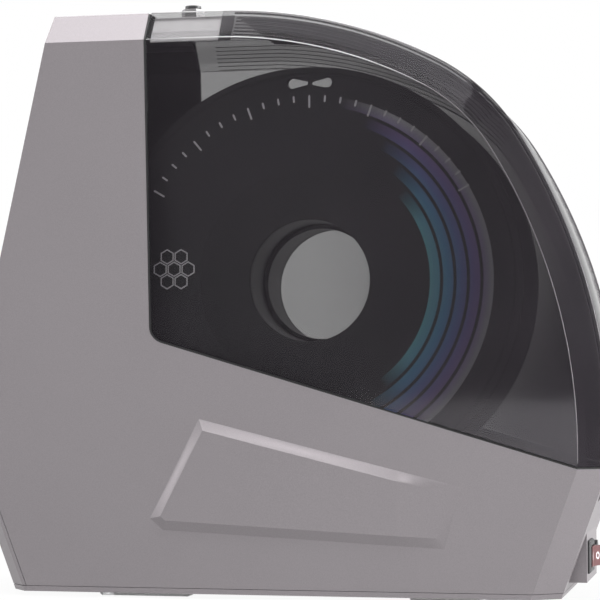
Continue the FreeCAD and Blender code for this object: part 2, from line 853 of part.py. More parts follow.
def fan_frame():
    """Square fan housing with a round duct and three struts that carry the hub."""
    front = liner_front_x - heater_depth - fan_depth
    back = front + fan_depth
    half = fan_side / 2
    frame = box((front, -half, air_z - half), (back, half, air_z + half))
    frame = frame.cut(rod(fan_hole_radius, (front, 0, air_z), (back, 0, air_z)))
    seat = rod(fan_hub_radius, (back - fan_strut_depth, 0, air_z), (back, 0, air_z))
    struts = []
    for i in range(3):
        strut = box((back - fan_strut_depth, -fan_strut / 2, air_z),
                    (back, fan_strut / 2, air_z + fan_hole_radius + fan_strut_depth / 2))
        strut.rotate(Vec(0, 0, air_z), Vec(1, 0, 0), 120 * i)
        struts.append(strut)
    frame = frame.fuse([seat] + struts)
    holes = [rod(post_hole, (front, y, z), (back, y, z)) for y, z in air_corners()]
    holes.append(rod(fan_shaft_radius + running_fit, (back - fan_strut_depth, 0, air_z), (back, 0, air_z)))
    return frame.cut(holes).removeSplitter()


def fan_rotor():
    """Hub, shaft and pitched blades."""
    front = liner_front_x - heater_depth - fan_depth + fan_end_gap
    back = liner_front_x - heater_depth - fan_strut_depth - fan_end_gap
    hub = rod(fan_hub_radius, (front, 0, air_z), (back, 0, air_z))
    hub = hub.fuse(rod(fan_shaft_radius, (back, 0, air_z), (back + fan_strut_depth, 0, air_z)))
    middle = (front + back) / 2
    duct = rod(fan_blade_radius, (front, 0, air_z), (back, 0, air_z))
    blades = []
    for i in range(fan_blades):
        blade = box((middle - fan_blade_depth / 2, -fan_blade_thickness / 2, air_z + fan_hub_radius - wall / 2),
                    (middle + fan_blade_depth / 2, fan_blade_thickness / 2, air_z + fan_hole_radius))
        blade.rotate(Vec(middle, 0, air_z), Vec(0, 0, 1), fan_blade_pitch)
        blade.rotate(Vec(middle, 0, air_z), Vec(1, 0, 0), 360 * i / fan_blades)
        blades.append(blade.common(duct))
    return hub.fuse(blades).removeSplitter()


def fan_screws():
    """Long screws through the fan and the heater into the liner."""
    seat = liner_front_x - heater_depth - fan_depth
    return Part.Compound([screw((liner_wall_x, y, z), (seat, y, z)) for y, z in air_corners()])


def heater_frame():
    """Square duct between the fan and the liner."""
    front = liner_front_x - heater_depth
    half = fan_side / 2
    inner = half - heater_rim
    frame = box((front, -half, air_z - half), (liner_front_x, half, air_z + half))
    frame = frame.cut(box((front, -inner, air_z - inner), (liner_front_x, inner, air_z + inner)))
    pillars = [rod(screw_radius + heater_rim / 2, (front, y, z), (liner_front_x, y, z)) for y, z in air_corners()]
    holes = [rod(post_hole, (front, y, z), (liner_front_x, y, z)) for y, z in air_corners()]
    return frame.fuse(pillars).cut(holes).removeSplitter()


def heater_fins():
    """Two heating bars with upright fins between them."""
    inner = fan_side / 2 - heater_rim
    front = liner_front_x - heater_depth + heater_rim
    back = liner_front_x - heater_rim
    clear = inner - 2 * (screw_radius + heater_rim / 2)
    bars = [box((front, -clear, air_z + side * inner - heater_bar * (side > 0)),
                (back, clear, air_z + side * inner + heater_bar * (side < 0))) for side in (-1, 1)]
    fins = []
    for i in range(fin_count):
        y = (2 * i / (fin_count - 1) - 1) * (clear - fin_thickness / 2)
        fins.append(box((front, y - fin_thickness / 2, air_z - inner + heater_bar / 2),
                        (back, y + fin_thickness / 2, air_z + inner - heater_bar / 2)))
    return bars[0].fuse(bars[1:] + fins).removeSplitter()


def power_board_corners():
    """Standoff centres of the power board."""
    half = [length / 2 - standoff_inset for length in power_board_size]
    return [(y, power_board_z + z) for y, z in corners(*half)]


def power_board():
    """Power board on its standoffs, in front of the liner."""
    back = liner_front_x - standoff_height
    half = [length / 2 for length in power_board_size]
    board = box((back - board_thickness, -half[0], power_board_z - half[1]), (back, half[0], power_board_z + half[1]))
    return board.cut([rod(board_screw_radius, (back - board_thickness, y, z), (back, y, z))
                      for y, z in power_board_corners()])


def power_board_parts():
    """Tall parts of the power board: two capacitors, a coil, a relay and a terminal strip."""
    face = liner_front_x - standoff_height - board_thickness
    edge_y = power_board_size[0] / 2 - board_part_margin
    low_z = power_board_z - power_board_size[1] / 2 + board_part_margin
    high_z = power_board_z + power_board_size[1] / 2 - board_part_margin - coil_radius
    parts = []
    for place in (0, 1):
        y = capacitor_radius - edge_y + place * capacitor_pitch
        parts.append(rod(capacitor_radius, (face, y, high_z), (face - capacitor_height, y, high_z)))
    coil_y = edge_y - coil_radius
    parts.append(tube(coil_radius, coil_hole, (face, coil_y, high_z), (face - coil_height, coil_y, high_z)))
    parts.append(box((face - relay_size[2], -edge_y, low_z), (face, relay_size[0] - edge_y, low_z + relay_size[1])))
    parts.append(box((face - terminal_size[2], edge_y - terminal_size[0], low_z),
                     (face, edge_y, low_z + terminal_size[1])))
    return Part.Compound(parts)


def board_standoffs():
    """Six-sided brass standoffs between the liner and the power board."""
    posts = []
    for y, z in power_board_corners():
        post = hexagon(standoff_flats, (0, 0, 0), standoff_height)
        post.rotate(Vec(0, 0, 0), Vec(0, 1, 0), -90)
        post.translate(Vec(liner_front_x, y, z))
        posts.append(post)
    return Part.Compound(posts)


def humidity_sensor():
    """Small sensor board on the chamber side of the liner, with its vented cap."""
    y, z = inner_half - sensor_edge, sensor_z
    half = [length / 2 for length in sensor_size]
    board = box((liner_wall_x, y - half[0], z - half[1]), (liner_wall_x + sensor_board, y + half[0], z + half[1]))
    cap = box((liner_wall_x + sensor_board, y - half[0] / 2, z - half[0] / 2),
              (liner_wall_x + sensor_board + sensor_cap, y + half[0] / 2, z + half[0] / 2))
    return board.fuse(cap)


def display_window():
    """Dark glossy window, flush in the front face."""
    size = [length - 2 * window_fit for length in window_size]
    return on_brow(rounded_plate(size, button_corner, -window_thickness, 0))


def display_panel():
    """Screen between the window and the control board."""
    half = [length / 2 for length in screen_size]
    return on_brow(box((-half[0], -half[1], -board_depth), (half[0], half[1], -window_thickness)))


def control_board():
    """Board behind the front face, screwed to its bosses."""
    half = control_board_width / 2
    board = box((-half, control_board_foot, -board_depth - board_thickness), (half, control_board_top, -board_depth))
    holes = [rod(board_screw_radius + screw_fit, (x, y, -board_depth - board_thickness), (x, y, -board_depth))
             for x, y in board_corners()]
    return on_brow(board.cut(holes))


def board_screws():
    """Screws through the control board into its bosses."""
    seat = -board_depth - board_thickness
    return Part.Compound([on_brow(screw((x, y, -wall - screw_head_height), (x, y, seat), board_screw_radius))
                          for x, y in board_corners()])


button_back = -wall - button_fit - button_lip


def tact_switches():
    """Switches on the control board, one behind each button."""
    plunger_top = button_back - button_travel - button_fit
    case_top = plunger_top - tact_plunger
    switches = []
    for x, y in button_places():
        half = tact_side / 2
        case = box((x - half, y - half, -board_depth), (x + half, y + half, case_top))
        switches.append(on_brow(case.fuse(rod(tact_plunger_radius, (x, y, case_top), (x, y, plunger_top)))))
    return Part.Compound(switches)


def push_button(place):
    """Button cap with a lip behind the front face that keeps it in."""
    cap = rounded_plate(button_size, button_corner, button_back, button_stand)
    top = [edge for edge in cap.Edges if edge.BoundBox.ZMin > button_stand - 0.01]
    cap = cap.makeFillet(button_stand / 2, top)
    lip_size = [length + 2 * (button_fit + button_lip) for length in button_size]
    cap = cap.fuse(rounded_plate(lip_size, button_corner, button_back, button_back + button_lip)).removeSplitter()
    cap.translate(Vec(place[0], place[1], 0))
    return on_brow(cap)


def lid_shell():
    """Smoky lid with its hinge knuckles, lug notches and outlet holes."""
    lid = case_block(0).cut(case_block(wall)).common(beyond_parting(seal_height + lid_gap))
    for side in (-1, 1):
        y = side * hinge_y
        half = lug_width / 2 + notch_side
        lid = lid.cut(box((back_x, y - half, 0), (reach, y + half, hinge_z + lug_radius + notch_top)))
        for edge in (-1, 1):
            near = y + edge * (lug_width / 2 + hinge_side_gap)
            low, high = sorted((near, near + edge * knuckle_width))
            knuckle = rod(knuckle_radius, (hinge_x, low, hinge_z), (hinge_x, high, hinge_z))
            web_low = sorted((y + edge * half, near + edge * knuckle_width))
            web = box((back_x + roof_bevel - wall / 2, web_low[0], hinge_z - knuckle_radius / 2),
                      (hinge_x, web_low[1], hinge_z + knuckle_radius))
            lid = lid.fuse([knuckle, web])
    lid = lid.cut(hinge_bore(hinge_pin_radius + running_fit))
    lid = lid.cut(rod(outlet_thread_radius + outlet_thread_fit, (outlet_x, 0, face_top), (outlet_x, 0, reach)))
    return lid.cut(plug_rod(plug_radius + plug_fit, -roof_bevel, roof_bevel)).removeSplitter()


def lid_seal():
    """Black seal on the body's rim, all round the parting line."""
    ring = case_block(seal_inset).cut(case_block(wall - seal_inset))
    ring = ring.common(beyond_parting(0)).cut(beyond_parting(seal_height))
    room = []
    for side in (-1, 1):
        y = side * hinge_y
        half = lug_width / 2 + notch_side
        room.append(box((back_x, y - half, 0), (reach, y + half, hinge_z)))
    return ring.cut(room)


def hinge_pins():
    """One pin through each lug and its two knuckles."""
    half = lug_width / 2 + hinge_side_gap + knuckle_width
    return Part.Compound([rod(hinge_pin_radius, (hinge_x, side * hinge_y - half, hinge_z),
                              (hinge_x, side * hinge_y + half, hinge_z)) for side in (-1, 1)])


outlet_seat = roof_top
outlet_hex_top = outlet_seat + outlet_hex_height
outlet_foot = roof_top - wall - outlet_nut_height - outlet_tail
collar_seat_z = outlet_hex_top - collar_seat_depth


def upright(radius, low, high):
    """Round bar on the outlet's axis."""
    return rod(radius, (outlet_x, 0, low), (outlet_x, 0, high))


def outlet_fitting():
    """Six-sided fitting on the roof with a threaded tail and a bore for the guide tube."""
    body = hexagon(outlet_flats, (outlet_x, 0, outlet_seat), outlet_hex_height)
    cone = Part.makeCone(outlet_flats / math.sqrt(3) + outlet_hex_height, outlet_flats / 2 - wall / 4,
                         outlet_hex_height + wall / 2, Vec(outlet_x, 0, outlet_seat))
    body = body.common(cone).fuse(upright(outlet_thread_radius, outlet_foot, outlet_seat))
    return body.cut([upright(tube_bore_radius, outlet_foot, outlet_hex_top),
                     upright(collar_seat_radius, collar_seat_z, outlet_hex_top)])


def outlet_nut():
    """Nut under the roof."""
    nut = hexagon(outlet_flats, (outlet_x, 0, roof_top - wall - outlet_nut_height), outlet_nut_height)
    return nut.cut(upright(outlet_thread_radius + core_fit, face_top, roof_top))


def outlet_collar():
    """Ring that is pushed down to let the guide tube go."""
    stem_foot = collar_seat_z + collar_travel + collar_end_gap
    flange_foot = outlet_hex_top + collar_travel + collar_end_gap
    ring = upright(collar_seat_radius - collar_fit, stem_foot, flange_foot)
    ring = ring.fuse(upright(collar_flange_radius, flange_foot, flange_foot + collar_flange_height))
    return ring.cut(upright(tube_bore_radius + collar_bore_fit, stem_foot, flange_foot + collar_flange_height))


def plug_rod(radius, low, high):
    """Round bar square to the shoulder, between two heights over its outer face."""
    ends = [on_circle(shoulder_centre, shoulder_radius + roof_bevel + height, plug_angle) for height in (low, high)]
    return rod(radius, (ends[0][0], 0, ends[0][1]), (ends[1][0], 0, ends[1][1]))


def outlet_plug():
    """Soft plug that closes the spare outlet on the lid's shoulder."""
    stem = plug_rod(plug_radius, -plug_stem, core_fit)
    return stem.fuse(plug_rod(plug_head_radius, core_fit, core_fit + plug_head_height)).removeSplitter()


switch_face = pod_x + switch_flange_thickness
rocker_axis_x = switch_face - rocker_pivot_depth


def switch_frame():
    """Black switch housing with a flange on the pod and a window for the rocker."""
    flange = [length / 2 for length in switch_flange]
    body = [length / 2 for length in switch_body]
    case = box((pod_x, switch_y - flange[0], pod_centre_z - flange[1]),
               (switch_face, switch_y + flange[0], pod_centre_z + flange[1]))
    rim = [edge for edge in case.Edges if edge.BoundBox.XMin > switch_face - 0.01]
    case = case.makeChamfer(switch_flange_thickness / 2, rim)
    case = case.fuse(box((pod_x - switch_depth, switch_y - body[0], pod_centre_z - body[1]),
                         (pod_x, switch_y + body[0], pod_centre_z + body[1])))
    swing = math.radians(rocker_tilt)
    end = (rocker_crown + rocker_half * math.tan(swing)) * math.sin(swing) + rocker_half * math.cos(swing)
    half = (end + rocker_clear, rocker_width / 2 + rocker_clear)
    floor = rocker_axis_x - rocker_belly - rocker_half * math.sin(swing) - rocker_clear
    case = case.cut(box((floor, switch_y - half[0], pod_centre_z - half[1]),
                        (reach, switch_y + half[0], pod_centre_z + half[1])))
    reach_z = rocker_width / 2 + rocker_clear + trunnion_reach
    return case.cut(rod(trunnion_radius + running_fit, (rocker_axis_x, switch_y, pod_centre_z - reach_z),
                        (rocker_axis_x, switch_y, pod_centre_z + reach_z))).removeSplitter()


def switch_rocker():
    """Dished rocker on two trunnions, at rest with its near half pressed in."""
    lift = rocker_half * math.tan(math.radians(rocker_tilt))
    points = [(rocker_crown, 0), (rocker_crown + lift, rocker_half), (-rocker_belly / 2, rocker_half),
              (-rocker_belly, rocker_half / 2), (-rocker_belly, -rocker_half / 2),
              (-rocker_belly / 2, -rocker_half), (rocker_crown + lift, -rocker_half)]
    low = pod_centre_z - rocker_width / 2
    ring = [Vec(rocker_axis_x + x, switch_y + y, low) for x, y in points]
    rocker = Part.Face(Part.makePolygon(ring + ring[:1])).extrude(Vec(0, 0, rocker_width))
    reach_z = rocker_width / 2 + rocker_clear + trunnion_reach - running_fit
    rocker = rocker.fuse(rod(trunnion_radius, (rocker_axis_x, switch_y, pod_centre_z - reach_z),
                             (rocker_axis_x, switch_y, pod_centre_z + reach_z))).removeSplitter()
    rocker.rotate(Vec(rocker_axis_x, switch_y, 0), Vec(0, 0, 1), -rocker_tilt)
    return rocker


def switch_blades():
    """Contact blades behind the switch."""
    thick, tall, long = blade_size
    back = pod_x - switch_depth
    blades = []
    for i in (-1, 0, 1):
        y = switch_y + i * blade_pitch
        blades.append(box((back - long, y - thick / 2, pod_centre_z - tall / 2), (back, y + thick / 2, pod_centre_z + tall / 2)))
    return Part.Compound(blades)


def jack_rod(radius, low, high):
    """Round bar on the power jack's axis, between two depths behind the pod's face."""
    return rod(radius, (pod_x - low, jack_y, pod_centre_z), (pod_x - high, jack_y, pod_centre_z))


def dc_jack():
    """Round power jack with a flange on the pod."""
    barrel = jack_rod(jack_barrel_radius, 0, jack_depth).fuse(jack_rod(jack_flange_radius, -jack_flange_thickness, 0))
    return barrel.cut(jack_rod(jack_bore_radius, -jack_flange_thickness, jack_bore_depth)).removeSplitter()


def dc_pin():
    """Centre pin of the power jack."""
    pin = jack_rod(jack_pin_radius, jack_bore_depth - jack_pin_length, jack_bore_depth)
    tip = [edge for edge in pin.Edges if edge.BoundBox.XMin > pod_x - jack_bore_depth + jack_pin_length - 0.01]
    return pin.makeFillet(jack_pin_radius / 2, tip)


def pieces():
    """Every piece by its name."""
    made = {
        "body_shell": body_shell(), "chin_cover": chin_cover(), "base_plate": base_plate(),
        "rubber_feet": rubber_feet(), "base_screws": base_screws(), "chamber_liner": chamber_liner(),
        "liner_screws": liner_screws(), "roller_brackets": roller_brackets(), "bracket_screws": bracket_screws(),
        "roller_bushes": roller_bushes(), "lid_shell": lid_shell(), "lid_seal": lid_seal(),
        "hinge_pins": hinge_pins(), "outlet_fitting": outlet_fitting(), "outlet_nut": outlet_nut(),
        "outlet_collar": outlet_collar(), "outlet_plug": outlet_plug(), "spool_flange_near": spool_flange(-1),
        "spool_flange_far": spool_flange(1), "spool_core": spool_core(), "spool_label": spool_label(),
        "filament_core": filament_core(), "filament_layer": filament_layer(), "fan_frame": fan_frame(),
        "fan_rotor": fan_rotor(), "fan_screws": fan_screws(), "heater_frame": heater_frame(),
        "heater_fins": heater_fins(), "power_board": power_board(), "power_board_parts": power_board_parts(),
        "board_standoffs": board_standoffs(), "humidity_sensor": humidity_sensor(),
        "display_window": display_window(), "display_panel": display_panel(), "control_board": control_board(),
        "board_screws": board_screws(), "tact_switches": tact_switches(), "switch_frame": switch_frame(),
        "switch_rocker": switch_rocker(), "switch_blades": switch_blades(), "dc_jack": dc_jack(), "dc_pin": dc_pin(),
    }
    for name, x in (("front", -roller_half_span), ("rear", roller_half_span)):
        made[f"{name}_roller_shaft"] = roller_shaft(x)
        made[f"{name}_rollers"] = roller_pair(x)
    for name, place in zip(("minus_button", "set_button", "plus_button"), button_places()):
        made[name] = push_button(place)
    return made


def main():
    """Write every piece to its own file."""
    os.makedirs("parts", exist_ok=True)
    for name, shape in pieces().items():
        shape.translate(Vec(-middle_x, 0, 0))
        shape.exportStep(f"parts/{name}.step")
        bounds = shape.optimalBoundingBox(False)
        print(f"{name}: {len(shape.Solids)} solids, valid {shape.isValid()}, volume {shape.Volume:.0f}, "
              f"x {bounds.XMin:.1f} to {bounds.XMax:.1f}, y {bounds.YMin:.1f} to {bounds.YMax:.1f}, "
              f"z {bounds.ZMin:.1f} to {bounds.ZMax:.1f}")
    print(f"middle x {middle_x:.3f}, hinge {hinge_x - middle_x:.3f}, {hinge_z:.3f}, rollers z {roller_z:.3f}, "
          f"spool x {-middle_x:.3f}, pod x {pod_x - middle_x:.3f}, rocker axis x {rocker_axis_x - middle_x:.3f}")


main()
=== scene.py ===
"""Looks of the filament dryer box: finishes, print, winding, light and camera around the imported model.

Lengths are in metres in the model's own frame: +X to the hinged tail, +Y to the far side, +Z up.
"""
import json
import math

import bpy
import numpy as np
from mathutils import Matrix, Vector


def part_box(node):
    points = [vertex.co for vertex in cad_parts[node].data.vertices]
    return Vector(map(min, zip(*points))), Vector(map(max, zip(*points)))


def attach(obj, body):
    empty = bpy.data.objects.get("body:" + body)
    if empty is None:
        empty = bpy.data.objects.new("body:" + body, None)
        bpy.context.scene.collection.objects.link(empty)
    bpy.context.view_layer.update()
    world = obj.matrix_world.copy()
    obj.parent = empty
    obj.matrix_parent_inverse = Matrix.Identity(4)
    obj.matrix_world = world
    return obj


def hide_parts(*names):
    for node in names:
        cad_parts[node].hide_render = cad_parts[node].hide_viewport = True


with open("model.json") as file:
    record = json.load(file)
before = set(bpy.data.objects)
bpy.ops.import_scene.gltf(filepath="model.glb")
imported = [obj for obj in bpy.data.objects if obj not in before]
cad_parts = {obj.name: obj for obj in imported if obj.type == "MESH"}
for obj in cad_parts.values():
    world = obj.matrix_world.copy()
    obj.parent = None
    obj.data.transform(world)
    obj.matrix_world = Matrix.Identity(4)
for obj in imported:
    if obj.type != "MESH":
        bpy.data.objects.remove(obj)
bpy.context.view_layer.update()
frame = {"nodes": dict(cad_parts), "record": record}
nodes = frame["nodes"]

# Spool: its winding, and the bands, ticks and comb on its label
spool_axis = np.array([0.0088, 0.0, 0.147])
spool_inner_half = 0.0304
winding_radius = 0.0884
winding_margin = 0.0012
strand_radius = 0.000875
strand_turns = 34
strand_steps = 72
strand_wander = 0.0002
label_face_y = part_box("spool_label")[0].y
label_ink_heights = (-0.0002, 0.00006)
band_inner = 0.056
band_pitch = 0.0062
band_count = 5
band_tilt = 0.1
tick_radius = 0.0868
tick_count = 25
tick_start = math.radians(30.0)
tick_step = math.radians(5.0)
tick_width = 0.0009
long_tick = 0.0060
short_tick = 0.0032
comb_place = (-0.0652, 0.0060)
comb_pitch = 0.0068
cell_outer = 0.0037
cell_inner = 0.0030

# Power rocker at the tail, and display and buttons on the leaning front
rocker_axis = np.array([0.13537, -0.014, 0.01975])
rocker_tilt = math.radians(11.0)
rocker_crown = 0.003
rocker_mark_reach = 0.0040
rocker_ink_heights = (-0.00004, 0.00006)
brow_lean = math.radians(12.05)
display_z = 0.178
display_half_height = 0.0228
button_row = -0.035
button_pitch = 0.022
button_stand = 0.0012
ink_depth = 0.00005
segment_height = 0.00008

# Inner side walls of the case, where painted shade colours them near black: a band in Y and a stretch in X,
# under the plane of the bevels
inner_wall_y = (0.0425, 0.0502)
inner_wall_x = (-0.1, 0.1)
bevel_normal = (0.814, 0.581)
bevel_reach = 0.1919

# Lid: its outline on the side face is a level front, three arcs joined smoothly and a straight back
face_half = 0.052
section_half = 0.042
bevel_rise = 0.014
lid_wall = 0.0024
lid_front_x = -0.0655
pale_end_x = -0.0315
strip_end_x = -0.0255
side_inner_y = (0.0496, 0.0491)
bevel_inner_y = (0.0412, 0.0422)
arc_radii = np.array([0.205, 0.084, 0.261])
arc_turns = np.radians([0.0, 28.0, 58.5])
arc_first = np.array([-0.0327, 0.0547])
arc_leans = np.stack([np.sin(arc_turns[1:]), np.cos(arc_turns[1:])], axis=-1)
arc_steps = (arc_radii[:2] - arc_radii[1:])[:, None] * arc_leans
arc_centres = np.concatenate([arc_first[None], arc_first + np.cumsum(arc_steps, axis=0)])
lid_front_z = arc_first[1] + arc_radii[0]
lid_foot_z = 0.063

# Lid trim: radii of the beads, and where they start and end in degrees from straight up. The face and roof
# beads are painted highlights.
face_highlight_radius = 0.00021
face_highlight_inset = 0.0001
roof_highlight_radius = 0.00026
groove_bead = 0.0005
groove_depth = 0.0013
groove_start = 2.0
roof_end = 84.0
rib_steps = 70
rib_start = 2.2
bevel_rib_count = 7
bevel_rib_end = 50.0
bevel_rib_radii = {"near": 0.00036, "far": 0.00018}
far_rib_front_x = lid_front_x + 0.01
roof_rib_count = 15
roof_rib_end = 48.0
roof_rib_pitch = 0.0054
roof_rib_radius = 0.00055
trim_gap = 0.0003
bevel_rib_gap = 0.0004
panel_front_gap = 0.0012
panel_share = (0.96, 0.04)
panel_thickness = 0.0004


class Wire:
    """A shader value that takes part in Python expressions; each operator adds one Math node."""

    def __init__(self, finish, socket):
        self.finish = finish
        self.socket = socket

    def _math(self, operation, first, second):
        return self.finish.node("ShaderNodeMath", {"operation": operation}, {0: first, 1: second})

    def __add__(self, other):
        return self._math("ADD", self, other)

    def __radd__(self, other):
        return self._math("ADD", other, self)

    def __sub__(self, other):
        return self._math("SUBTRACT", self, other)

    def __rsub__(self, other):
        return self._math("SUBTRACT", other, self)

    def __mul__(self, other):
        return self._math("MULTIPLY", self, other)

    def __rmul__(self, other):
        return self._math("MULTIPLY", other, self)

    def __truediv__(self, other):
        return self._math("DIVIDE", self, other)

    def __gt__(self, other):
        return self._math("GREATER_THAN", self, other)

    def __lt__(self, other):
        return self._math("LESS_THAN", self, other)

    def __abs__(self):
        return self._math("ABSOLUTE", self, 0.0)


class Finish:
    """One material under construction."""

    def __init__(self, name):
        self.material = bpy.data.materials.new(name)
        self.material.use_nodes = True
        self.tree = self.material.node_tree
        self.tree.nodes.clear()

    def node(self, kind, settings=None, inputs=None, output=0):
        """Add a node of a type, set its properties, then its sockets by value or by link."""
        made = self.tree.nodes.new(kind)
        for key, value in (settings or {}).items():
            if key == "stops":
                self._stops(made.color_ramp, value)
            else:
                setattr(made, key, value)
        for key, value in (inputs or {}).items():
            if isinstance(value, Wire):
                self.tree.links.new(value.socket, made.inputs[key])
            else:
                made.inputs[key].default_value = value
        return Wire(self, made.outputs[output]) if made.outputs else None

    @staticmethod
    def _stops(ramp, stops):
        while len(ramp.elements) < len(stops):
            ramp.elements.new(0.5)
        for element, (place, colour) in zip(ramp.elements, stops):
            element.position = place
            element.color = (*colour, 1.0)

    def place(self):
        """Object coordinates, which are metres in the model's frame."""
        return self.node("ShaderNodeTexCoord", output="Object")

    def axes(self):
        """The three coordinates as separate values."""
        split = self.node("ShaderNodeSeparateXYZ", {}, {0: self.place()})
        return [Wire(self, split.socket.node.outputs[i]) for i in range(3)]

    def noise(self, scale, detail=2.0, stretch=None):
        """Noise value; stretch squeezes the pattern along each axis."""
        place = self.place()
        if stretch:
            place = self.node("ShaderNodeMapping", {}, {"Vector": place, "Scale": stretch})
        inputs = {"Vector": place, "Scale": scale, "Detail": detail}
        return self.node("ShaderNodeTexNoise", {}, inputs, "Fac")

    def ramp(self, value, *stops):
        return self.node("ShaderNodeValToRGB", {"stops": stops}, {0: value})

    def rise(self, value, low, high):
        """Share from 0 to 1 as a value goes from one level to another."""
        return self.node("ShaderNodeMapRange", {"clamp": True}, {0: value, 1: low, 2: high})

    def blend(self, share, first, second):
        """Colour between two, by a share from 0 to 1."""
        colours = [c if isinstance(c, Wire) else (*c, 1.0) for c in (first, second)]
        inputs = {0: share, 6: colours[0], 7: colours[1]}
        return self.node("ShaderNodeMix", {"data_type": "RGBA"}, inputs, 2)

    def bump(self, height, distance, strength=1.0):
        inputs = {"Height": height, "Distance": distance, "Strength": strength}
        return self.node("ShaderNodeBump", {}, inputs)

    def surface(self, **sockets):
        """Close the material with one Principled shader."""
        inputs = {}
        for key, value in sockets.items():
            inputs[key.replace("_", " ").title().replace("Ior", "IOR")] = value
        shader = self.node("ShaderNodeBsdfPrincipled", {}, inputs)
        self.node("ShaderNodeOutputMaterial", {}, {"Surface": shader})
        return self.material


def rgb(*linear):
    return (*linear, 1.0)


def painted_case():
    """Satin metallic paint in a fine grain with a faint orange-peel bump, and painted shade, near black and
    dull, on the inner walls where they lie in shadow.
    """
    paint = Finish("painted_case")
    grain = paint.noise(2600.0, 3.0)
    cloud = paint.noise(9.0, 2.0)
    mottle = grain * 0.8 + cloud * 0.2
    shade = paint.ramp(mottle, (0.3, (0.197, 0.181, 0.191)), (0.7, (0.242, 0.223, 0.234)))
    x, y, z = paint.axes()
    side = abs(y)
    below_bevel = (bevel_normal[0] * side + bevel_normal[1] * z) < bevel_reach
    in_wall = (side > inner_wall_y[0]) * (side < inner_wall_y[1])
    inner_wall_shade = in_wall * below_bevel * (x > inner_wall_x[0]) * (x < inner_wall_x[1])
    # Painted shade: the inner side walls get a near-black, dull colour where shadow falls on them.
    shade = paint.blend(inner_wall_shade, shade, (0.022, 0.021, 0.023))
    rough = 0.40 + 0.08 * grain + 0.3 * inner_wall_shade
    return paint.surface(base_color=shade, roughness=rough, metallic=0.6 - 0.6 * inner_wall_shade,
                         specular_ior_level=0.5, normal=paint.bump(grain, 0.00002, 0.5))


def moulded(name, colour, roughness=0.5, grain=900.0, depth=0.00003, spread=0.15):
    """Moulded plastic: a little colour drift and a spark-eroded texture."""
    plastic = Finish(name)
    texture = plastic.noise(grain, 3.0)
    low = tuple(c * (1 - spread) for c in colour)
    high = tuple(min(1.0, c * (1 + spread)) for c in colour)
    shade = plastic.ramp(texture, (0.35, low), (0.65, high))
    return plastic.surface(base_color=shade, roughness=roughness - 0.06 + 0.12 * texture,
                           normal=plastic.bump(texture, depth))


def smoked_clear():
    """Smoky clear plastic: the tint deepens to the tail and on the bevels, and clears over the pale panel of
    painted highlight.
    """
    smoke = Finish("smoked_clear")
    haze = smoke.noise(30.0, 2.0)
    shade = smoke.ramp(haze, (0.3, (0.019, 0.0165, 0.0200)), (0.7, (0.025, 0.0215, 0.0260)))
    x, y, z = smoke.axes()
    tail = smoke.rise(x, 0.015, 0.13)
    above = smoke.rise(abs(y), *side_inner_y)
    near_bevel = smoke.rise(y, -bevel_inner_y[0], -bevel_inner_y[1])
    # Clearer over the pale panel, so that its painted highlight shows through the lid.
    over_highlight_panel = smoke.rise(x, pale_end_x + 0.001, pale_end_x) * near_bevel
    bevel = smoke.rise(abs(y), *bevel_inner_y)
    low = smoke.rise(x - 0.6 * z, 0.02, 0.09)
    sides = 0.33 + 0.27 * tail + 0.31 * low
    top = 0.45 + 0.06 * bevel + 0.25 * tail - 0.36 * over_highlight_panel
    tint = sides + above * (top - sides)
    return smoke.surface(base_color=shade, roughness=0.04 + 0.03 * haze, alpha=tint,
                         specular_ior_level=0.17, specular_tint=rgb(0.98, 0.94, 1.0))


def turned_metal(name, colour, roughness=0.3):
    """Metal with fine turning lines."""
    metal = Finish(name)
    lines = metal.noise(400.0, 2.0, (6.0, 0.3, 6.0))
    shade = metal.blend(lines, tuple(c * 0.85 for c in colour), colour)
    return metal.surface(base_color=shade, metallic=1.0, roughness=roughness - 0.08 + 0.16 * lines)


def board_laminate():
    """Green circuit board with paler tracks."""
    board = Finish("board_laminate")
    inputs = {"Vector": board.place(), "Scale": 60.0}
    tracks = board.node("ShaderNodeTexBrick", {"offset": 0.5}, inputs, "Fac")
    shade = board.blend(tracks, (0.012, 0.07, 0.03), (0.03, 0.16, 0.07))
    return board.surface(base_color=shade, roughness=0.35, normal=board.bump(tracks, 0.00005))


def label_film():
    """Dark printed film: concentric bands, teal to violet, at the right, each longer than the last."""
    film = Finish("label_film")
    x, _, z = film.axes()
    across = x - float(spool_axis[0])
    up = z - float(spool_axis[2])
    radius = film.node("ShaderNodeMath", {"operation": "SQRT"}, {0: across * across + up * up})
    turn = film.node("ShaderNodeMath", {"operation": "ARCTAN2"}, {0: up, 1: across}) + band_tilt
    step = (radius - band_inner) / band_pitch
    index = film.node("ShaderNodeMath", {"operation": "FLOOR"}, {0: step})
    within = step - index
    grain = film.noise(700.0, 3.0)
    inked = film.rise(within, 0.10, 0.14) * film.rise(within, 0.90, 0.86)
    stripe = inked * (step > 0.0) * (step < float(band_count))
    ends = film.rise(abs(turn), 0.85 + 0.16 * index, 0.55 + 0.16 * index)
    hue = film.ramp(step / float(band_count), (0.05, (0.20, 0.62, 0.72)), (0.30, (0.12, 0.42, 0.72)),
                    (0.55, (0.20, 0.24, 0.62)), (0.78, (0.34, 0.22, 0.56)), (0.95, (0.62, 0.62, 0.66)))
    ink = film.blend(stripe * ends * (0.75 + 0.25 * grain), (0.013, 0.012, 0.015), hue)
    return film.surface(base_color=ink, roughness=0.38)


def printed_ink():
    """Pale grey printing ink with slightly uneven cover."""
    ink = Finish("printed_ink")
    cover = ink.noise(900.0, 2.0)
    shade = ink.blend(cover, (0.70, 0.69, 0.71), (0.90, 0.89, 0.91))
    return ink.surface(base_color=shade, roughness=0.5)


